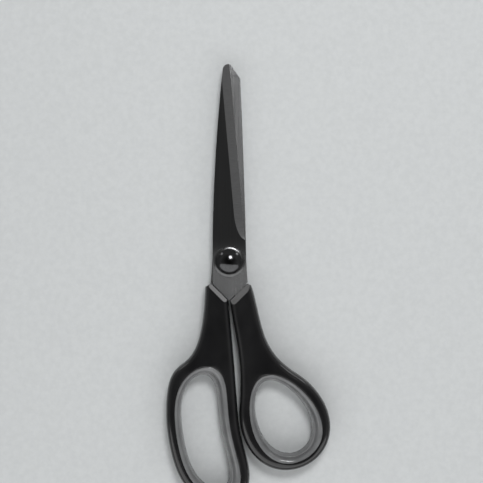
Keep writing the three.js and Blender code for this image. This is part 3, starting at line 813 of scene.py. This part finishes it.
grey_rubber, tree, shader, place = finish_named("soft_grey_rubber")
grain = noise_over(tree, place, GRAIN_SPREAD, 2)
cloud = noise_over(tree, place, CLOUD_SPREAD, 3)
bump = node(tree, "ShaderNodeBump", {"Height": grain, **RUBBER_BUMP})
tree.links.new(tones(tree, cloud, RUBBER_DARK, RUBBER_LIGHT), shader.inputs["Base Color"])
tree.links.new(between(tree, grain, *RUBBER_ROUGHNESS), shader.inputs["Roughness"])
tree.links.new(bump.outputs["Normal"], shader.inputs["Normal"])
shader.inputs["IOR"].default_value = RUBBER_IOR

finger_grip = lined_loop(
    "finger_grip_lining", FINGER_LOOP, FINGER_GRIP_SHIFT, FINGER_GRIP_AIM, -GRIP_SLANT, turned_over=False)
finger_grip.data.materials.append(grey_rubber)
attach(finger_grip, "finger_half")
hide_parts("finger_grip")

finger_crest = grip_rings(FINGER_LOOP, FINGER_GRIP_SHIFT, FINGER_GRIP_AIM, -GRIP_SLANT, [(1, 0, 0)])[0]
finger_grip_seam = seam_along("finger_grip_seam", finger_crest, True, grey_rubber, turned_over=False)
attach(finger_grip_seam, "finger_half")

# Rear washer
# A thin satin ring of stainless steel under the rivet's closed end, which spreads its pull over the blade.
# It is blanked from sheet, so its outer corners are a little rounded.

TURN_STEPS = 96
TURN_CREASE = math.radians(35)
AXIS_RADIUS = 1e-9
WASHER_CORNER = 0.00012
WASHER_CORNER_STEPS = 4
WASHER_DARK = (0.10, 0.1015, 0.1025, 1)
WASHER_LIGHT = (0.135, 0.1365, 0.1375, 1)
WASHER_ROUGHNESS = (0.21, 0.27)
WASHER_BUMP = {"Strength": 0.04, "Distance": 0.00001}
SWIRL_SPREAD = (500, 500, 500)


def turned_piece(name, profile, closed):
    """A turned piece about the rivet's axis from radius and height, with its ends on the axis or closed."""
    profile = np.asarray(profile)
    turn = np.linspace(0, 2 * math.pi, TURN_STEPS, endpoint=False)
    corners, rings, faces = [], [], []
    for radius, height in profile:
        first = len(corners)
        if radius < AXIS_RADIUS:
            corners.append((0, 0, height))
            rings.append([first] * TURN_STEPS)
        else:
            corners += [(radius * math.cos(a), radius * math.sin(a), height) for a in turn]
            rings.append(list(range(first, first + TURN_STEPS)))
    pairs = list(zip(rings, rings[1:]))
    if closed:
        pairs.append((rings[-1], rings[0]))
    for low, high in pairs:
        for i in range(TURN_STEPS):
            j = (i + 1) % TURN_STEPS
            faces.append(list(dict.fromkeys((low[i], low[j], high[j], high[i]))))
    corners = np.array(corners) - (0, 0, MEETING_Z)
    return baked(piece_from(name, corners, faces, turned_over=False), TURN_CREASE)


def softened(profile, corners):
    """A profile with some of its corners, given by index and radius, rounded over."""
    made = []
    for i, point in enumerate(profile):
        if i in corners:
            following = profile[(i + 1) % len(profile)]
            arc = rounded_corner(profile[i - 1], point, following, corners[i], WASHER_CORNER_STEPS)
            made += arc.tolist()
        else:
            made.append(point)
    return made


bore = RIVET_HOLE_RADIUS
washer_low, washer_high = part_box("rear_washer")
profile = softened([
    (bore, washer_low.z),
    (washer_high.x, washer_low.z),
    (washer_high.x, washer_high.z),
    (bore, washer_high.z),
], {1: WASHER_CORNER, 2: WASHER_CORNER})
rear_washer = turned_piece("rear_washer_ring", profile, True)
satin_steel, tree, shader, place = finish_named("satin_turned_steel")
swirl = noise_over(tree, place, SWIRL_SPREAD, 2)
bump = node(tree, "ShaderNodeBump", {"Height": swirl, **WASHER_BUMP})
tree.links.new(tones(tree, swirl, WASHER_DARK, WASHER_LIGHT), shader.inputs["Base Color"])
tree.links.new(between(tree, swirl, *WASHER_ROUGHNESS), shader.inputs["Roughness"])
tree.links.new(bump.outputs["Normal"], shader.inputs["Normal"])
shader.inputs["Metallic"].default_value = 1.0
rear_washer.data.materials.append(satin_steel)
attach(rear_washer, "finger_half")
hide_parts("rear_washer")

# Front blade
# The rear blade's fellow, turned over: stamped from the same sheet, with a rounded nose and a fuller back.
# It turns on the rivet against the rear blade's inner face, and its bevel is on the front.

FRONT_SPINE = 0.0079
FRONT_BELLY = 0.0079
FRONT_TIP_WIDTH = 0.0032
FRONT_TIP_CLIP = 0.003
FRONT_TIP_ROUND = 0.8
THUMB_TANG_LEAN = math.radians(10)

front_blade = ground_blade(
    "front_blade_ground", FRONT_SPINE, FRONT_BELLY, FRONT_TIP_WIDTH, FRONT_TIP_CLIP, FRONT_TIP_ROUND,
    THUMB_TANG_LEAN, turned_over=True,
)
front_blade.data.materials.append(blade_steel)
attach(front_blade, "thumb_half")
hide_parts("front_blade")

# Thumb handle
# The shorter handle, moulded round the front blade's tang from the same black plastic.
# Its loop is an oval set aslant for the thumb, and its collar closes the other side of the V.

THUMB_CHAMFER_RUN = 0.0029
THUMB_NECK_HALF = 0.0108
THUMB_NECK_LEAN = math.radians(15.8)
THUMB_OUTER_FLANK = (math.radians(232), 0.42, 0.45)
THUMB_INNER_FLANK = (math.radians(120), 0.26, 0.48)
HANDLE_GAP = 0.0008
RIM_SAMPLES = 1024
THUMB_LOOP = {
    "x": 0.0, "y": -0.0743, "length": 0.0446, "width": 0.0319,
    "bend": 0.0, "taper": 0.178, "fullness": 1.0, "tilt": math.radians(-26.4),
}
# The outer bow is an oval of its own, so the rim thins out towards the lower side
THUMB_BOW = {
    "x": 0.0004, "y": -0.074, "length": 0.0507, "width": 0.0413,
    "bend": 0.0, "taper": 0.144, "fullness": 1.0, "tilt": math.radians(-24),
}


def thumb_loop_place():
    """Slides the thumb loop sideways until its rim just clears the finger handle's when closed."""
    finger_rim = closed_oval(FINGER_LOOP, FINGER_RIM, RIM_SAMPLES)
    thumb_rim = closed_oval(THUMB_BOW, 0, RIM_SAMPLES)
    right_half = finger_rim[finger_rim[:, 0] > FINGER_LOOP["x"]]
    right_half = right_half[np.argsort(right_half[:, 1])]
    beside = np.interp(thumb_rim[:, 1], right_half[:, 1], right_half[:, 0])
    return -HANDLE_GAP - np.max(thumb_rim[:, 0] + beside)


thumb_place = thumb_loop_place()
THUMB_LOOP["x"] += thumb_place
THUMB_BOW["x"] += thumb_place
thumb_outline = handle_outline(
    THUMB_BOW, 0, THUMB_OUTER_FLANK, THUMB_INNER_FLANK,
    THUMB_NECK_HALF, THUMB_NECK_LEAN, -PARTING_LEAN,
)
thumb_handle = moulded_handle(
    "thumb_handle_moulded", thumb_outline, THUMB_LOOP, THUMB_CHAMFER_RUN,
    THUMB_TANG_LEAN, turned_over=True,
)
thumb_handle.data.materials.append(black_plastic)
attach(thumb_handle, "thumb_half")
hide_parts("thumb_handle")

thumb_seam = seam_along(
    "thumb_handle_seam", at_height(thumb_outline[2:], 0), False, black_plastic, turned_over=True)
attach(thumb_seam, "thumb_half")

# Thumb grip
# The same soft grey lining in the thumb's oval, broadest along the lower side where the thumb presses.
# It is moulded onto the finished handle and held by its bond to the loop's wall.

THUMB_GRIP_SHIFT = 0.0011
THUMB_GRIP_AIM = math.radians(40)

thumb_grip = lined_loop(
    "thumb_grip_lining", THUMB_LOOP, THUMB_GRIP_SHIFT, THUMB_GRIP_AIM, GRIP_SLANT, turned_over=True)
thumb_grip.data.materials.append(grey_rubber)
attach(thumb_grip, "thumb_half")
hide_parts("thumb_grip")

thumb_crest = grip_rings(THUMB_LOOP, THUMB_GRIP_SHIFT, THUMB_GRIP_AIM, GRIP_SLANT, [(1, 0, 0)])[0]
thumb_grip_seam = seam_along("thumb_grip_seam", thumb_crest, True, grey_rubber, turned_over=True)
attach(thumb_grip_seam, "thumb_half")

# Front washer
# A turned ring under the rivet's dome, bowed down to a thin rim on the front blade.
# It has the rear washer's satin finish, and the rivet's head holds it.

DOME_RADIUS = 0.00585
FRONT_WASHER_RIM = 0.00035
WASHER_BOW_WIDTH = 0.0007
WASHER_BOW_DROP = 0.00002
WASHER_BOW_STEPS = 10
WASHER_TUCK = 0.0002
washer_low, washer_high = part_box("front_washer")
washer_rim = (washer_high.x, washer_low.z + FRONT_WASHER_RIM)
washer_shoulder = (washer_high.x - WASHER_BOW_WIDTH, washer_high.z - WASHER_BOW_DROP)
washer_top = (DOME_RADIUS - WASHER_TUCK, washer_high.z)
profile = softened([
    (bore, washer_low.z),
    (washer_high.x, washer_low.z),
    washer_rim,
    *bow(washer_rim, washer_shoulder, washer_top, WASHER_BOW_STEPS).tolist(),
    (bore, washer_high.z),
], {1: WASHER_CORNER})
front_washer = turned_piece("front_washer_ring", profile, True)
front_washer.data.materials.append(satin_steel)
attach(front_washer, "finger_half")
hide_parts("front_washer")

# Pivot rivet
# A steel rivet with a domed head in front, passed through both blades and closed flat behind.
# The head is polished, its colour darkened as painted shade for the dim room it mirrors, and its edge rolls
# in a little above the front washer.

RIVET_RADIUS = 0.0025
TAIL_RADIUS = 0.0042
TAIL_CHAMFER = 0.0004
SEAT_GAP = 0.00008
DOME_ROLL = 0.00025
DOME_STEPS = 24
# Painted shade: the steel's tones are kept very dark, standing in for the dim surroundings that the
# polished head mirrors
DOME_DARK = (0.062, 0.063, 0.065, 1)
DOME_LIGHT = (0.084, 0.085, 0.087, 1)
DOME_ROUGHNESS = (0.12, 0.16)
BUFFING_SPREAD = (700, 700, 700)
rivet_low, rivet_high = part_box("pivot_rivet")
tail_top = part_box("rear_washer")[0].z - SEAT_GAP
dome_foot = washer_high.z + SEAT_GAP
dome_top = rivet_high.z
dome_height = dome_top - dome_foot
ball = (DOME_RADIUS**2 + dome_height**2) / (2 * dome_height)
profile = softened([
    (0, rivet_low.z),
    (TAIL_RADIUS - TAIL_CHAMFER, rivet_low.z),
    (TAIL_RADIUS, rivet_low.z + TAIL_CHAMFER),
    (TAIL_RADIUS, tail_top),
    (RIVET_RADIUS, tail_top),
    (RIVET_RADIUS, dome_foot),
], {1: TAIL_CHAMFER / 2, 2: TAIL_CHAMFER / 2})
profile.append((DOME_RADIUS - DOME_ROLL, dome_foot))
for turn in np.linspace(math.asin((DOME_RADIUS - DOME_ROLL / 4) / ball), 0, DOME_STEPS):
    profile.append((ball * math.sin(turn), dome_top - ball * (1 - math.cos(turn))))
pivot_rivet = turned_piece("pivot_rivet_domed", profile, False)
# The rivet's steel takes the darkened tones above, a painted shade in place of a dark reflection
polish_with_painted_shade, tree, shader, place = finish_named("polished_steel_with_painted_shade")
buffing = noise_over(tree, place, BUFFING_SPREAD, 2)
tree.links.new(tones(tree, buffing, DOME_DARK, DOME_LIGHT), shader.inputs["Base Color"])
tree.links.new(between(tree, buffing, *DOME_ROUGHNESS), shader.inputs["Roughness"])
shader.inputs["Metallic"].default_value = 1.0
pivot_rivet.data.materials.append(polish_with_painted_shade)
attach(pivot_rivet, "finger_half")
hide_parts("pivot_rivet")

# Floor
# A plain pale grey surface that the object lies on.
# It is matt with a faint fibre, so it takes soft shadows and mirrors nothing.

FLOOR_SIZE = 10.0
FLOOR_GAP = 0.00002
FLOOR_ROUGHNESS = 0.8
FLOOR_DARK = (0.605, 0.625, 0.63, 1)
FLOOR_LIGHT = (0.645, 0.665, 0.67, 1)
FIBRE_SPREAD = (400, 400, 400)
reach = FLOOR_SIZE / 2
floor_z = cad_box[0].z - FLOOR_GAP
corners = [
    (-reach, -reach, floor_z),
    (reach, -reach, floor_z),
    (reach, reach, floor_z),
    (-reach, reach, floor_z),
]
floor_mesh = bpy.data.meshes.new("floor")
floor_mesh.from_pydata(corners, [], [(0, 1, 2, 3)])
floor = bpy.data.objects.new("floor", floor_mesh)
bpy.context.scene.collection.objects.link(floor)
pale_surface, tree, shader, place = finish_named("pale_matt_surface")
fibre = noise_over(tree, place, FIBRE_SPREAD, 2)
tree.links.new(tones(tree, fibre, FLOOR_DARK, FLOOR_LIGHT), shader.inputs["Base Color"])
shader.inputs["Roughness"].default_value = FLOOR_ROUGHNESS
floor_mesh.materials.append(pale_surface)

# Light
# A small key lamp beyond the tips, a broad soft lamp on the near side, and a low lamp at each far corner
# for the collars' bevels, in a dim room that darkens towards the ceiling.

KEY_POWER = 4.0
KEY_SIZE = 0.30
KEY_PLACE = (0.12, 0.42, 0.79)
FILL_POWER = 9.2
FILL_SIZE = (3.2, 0.9)
FILL_PLACE = (-0.04, -0.68, 0.64)
LEFT_CORNER_POWER = 0.40
RIGHT_CORNER_POWER = 0.66
CORNER_SIZE = 0.27
CORNER_PLACE = (0.82, 0.82, 0.29)
# How bright the room is from its walls up to the ceiling's darkest point
CEILING_CENTRE = (-0.04, 0.0, 1.0)
ROOM_LIGHT = [(0.0, 0.22), (0.3, 0.24), (0.55, 0.28), (0.8, 0.12), (0.94, 0.045), (0.985, 0.03)]


def lamp(name, place, power, width, depth):
    light = bpy.data.lights.new(name, "AREA")
    light.energy = power
    light.shape = "ELLIPSE"
    light.size = width
    light.size_y = depth
    made = bpy.data.objects.new(name, light)
    bpy.context.scene.collection.objects.link(made)
    made.location = place
    made.rotation_euler = (-made.location).to_track_quat("-Z", "Y").to_euler()
    made.visible_camera = False


lamp("key_light", KEY_PLACE, KEY_POWER, KEY_SIZE, KEY_SIZE)
lamp("fill_light", FILL_PLACE, FILL_POWER, *FILL_SIZE)
lamp("right_corner_light", CORNER_PLACE, RIGHT_CORNER_POWER, CORNER_SIZE, CORNER_SIZE)
left_place = (-CORNER_PLACE[0], *CORNER_PLACE[1:])
lamp("left_corner_light", left_place, LEFT_CORNER_POWER, CORNER_SIZE, CORNER_SIZE)
room = bpy.data.worlds.new("studio")
room.use_nodes = True
tree = room.node_tree
gaze = node(tree, "ShaderNodeTexCoord", {}).outputs["Generated"]
facing = node(tree, "ShaderNodeVectorMath", {0: gaze, 1: CEILING_CENTRE}, operation="DOT_PRODUCT")
walls = node(tree, "ShaderNodeValToRGB", {"Fac": facing.outputs["Value"]})
stops = walls.color_ramp.elements
while len(stops) < len(ROOM_LIGHT):
    stops.new(1.0)
for stop, (position, level) in zip(stops, ROOM_LIGHT):
    stop.position = position
    stop.color = (level, level, level, 1)
tree.links.new(walls.outputs["Color"], tree.nodes["Background"].inputs["Color"])
bpy.context.scene.world = room

# Camera
# Straight above the front face, as the object was pictured.
# It looks down from over half a metre, so the handles' sides hardly show.

CAMERA_CENTRE = (0.0058, 0.0095)
CAMERA_DISTANCE = 0.6
CAMERA_NEAR = 0.01
VIEW_HALF = 0.1147
camera_data = bpy.data.cameras.new("camera")
camera_data.lens = camera_data.sensor_width / 2 * CAMERA_DISTANCE / VIEW_HALF
camera_data.clip_start = CAMERA_NEAR
camera = bpy.data.objects.new("camera", camera_data)
bpy.context.scene.collection.objects.link(camera)
camera.location = (*CAMERA_CENTRE, front_high.z + CAMERA_DISTANCE)
bpy.context.scene.camera = camera
bpy.context.scene.view_settings.view_transform = "Standard"
